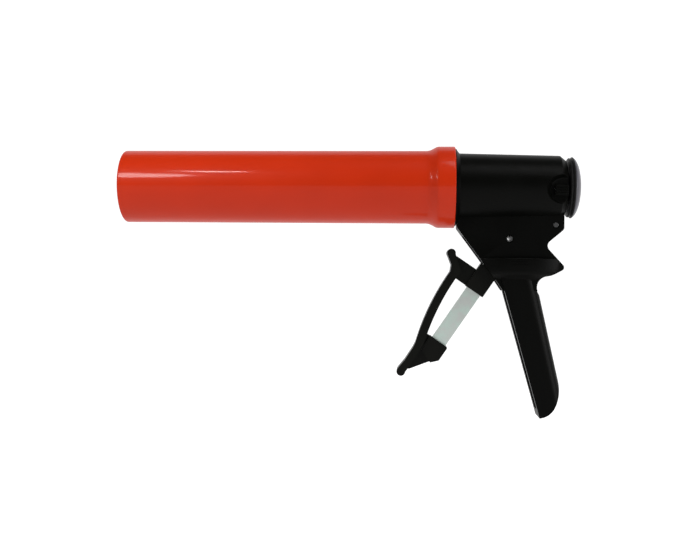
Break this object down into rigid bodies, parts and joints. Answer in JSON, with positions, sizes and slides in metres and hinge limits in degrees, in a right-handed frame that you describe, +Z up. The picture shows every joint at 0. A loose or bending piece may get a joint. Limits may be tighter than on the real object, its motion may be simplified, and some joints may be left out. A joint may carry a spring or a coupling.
{
  "type": "caulking gun",
  "caption": "Closed-barrel caulking gun for sealant cartridges: painted tube, black pistol handle, squeeze trigger and push rod with a rear knob.",
  "frame": {"origin": "centre of the muzzle opening, on the barrel's front face", "axes": "+X along the barrel's axis from the muzzle to the rear knob, +Z up, handle towards -Z, lever swings in the XZ plane"},
  "size_m": [0.3398, 0.0604, 0.1995],
  "materials": {
    "barrel_paint": "glossy powder coat, orange-red",
    "black_nylon": "satin moulded nylon, fine texture",
    "grip_plastic": "satin moulded nylon",
    "knob_plastic": "satin moulded plastic",
    "cap_plastic": "smooth grey plastic, soft sheen",
    "natural_nylon": "unpainted natural nylon",
    "die_cast": "die-cast, as cast",
    "bronze": "sintered bronze",
    "spring_steel": "drawn wire",
    "zinc_plate": "zinc plated",
    "lever_steel": "zinc plated flat bar, satin",
    "rod_steel": "bright drawn bar",
    "pin_steel": "plain steel pin",
    "black_screw": "blackened screw"
  },
  "bodies": {
    "frame": {"housing": "black_nylon", "front_bearing_plate": "die_cast", "front_bush": "bronze", "retaining_ring": "spring_steel", "return_spring": "spring_steel", "brake_spring": "spring_steel", "brake_pin": "pin_steel", "rear_cover": "black_nylon", "rear_bush": "bronze", "rear_cover_screws": "black_screw", "trigger_pivot_pin": "pin_steel", "pivot_spacers": "natural_nylon"},
    "barrel": {"barrel_tube": "barrel_paint"},
    "rod": {"push_rod": "rod_steel", "piston_disc": "zinc_plate", "piston_washers": "zinc_plate", "piston_nut": "zinc_plate", "rear_knob": "knob_plastic", "knob_cap": "cap_plastic", "knob_screw": "zinc_plate"},
    "trigger": {"trigger_lever": "lever_steel", "trigger_grip": "grip_plastic"},
    "driver": {"drive_plates": "zinc_plate"},
    "release": {"brake_plate": "zinc_plate", "release_pad_left": "black_nylon", "release_pad_right": "black_nylon"}
  },
  "joints": [
    {"name": "trigger_squeeze", "type": "hinge", "parent": "frame", "child": "trigger", "pos_m": [0.2879, 0, -0.0382], "axis": [0, -1, 0], "range_deg": [0, 28], "stiffness_Nm_per_rad": 0.5, "springref_deg": -34.38},
    {"name": "drive_slide", "type": "slide", "parent": "frame", "child": "driver", "axis": [-1, 0, 0], "range_m": [0, 0.00687], "deforming": ["return_spring"]},
    {"name": "rod_slide", "type": "slide", "parent": "frame", "child": "rod", "axis": [1, 0, 0], "range_m": [0, 0.2155]},
    {"name": "release_press", "type": "hinge", "parent": "frame", "child": "release", "pos_m": [0.3215, 0, -0.0279], "axis": [0, -1, 0], "range_deg": [0, 3.5], "stiffness_Nm_per_rad": 2, "springref_deg": -11.46, "deforming": ["brake_spring"]},
    {"name": "barrel_turn", "type": "hinge", "parent": "frame", "child": "barrel", "pos_m": [0.2483, 0, 0], "axis": [1, 0, 0], "range_deg": [0, 35]}
  ],
  "couplings": [
    {"joint": "drive_slide", "follows": "trigger_squeeze", "m_per_rad": 0.013861}
  ]
}
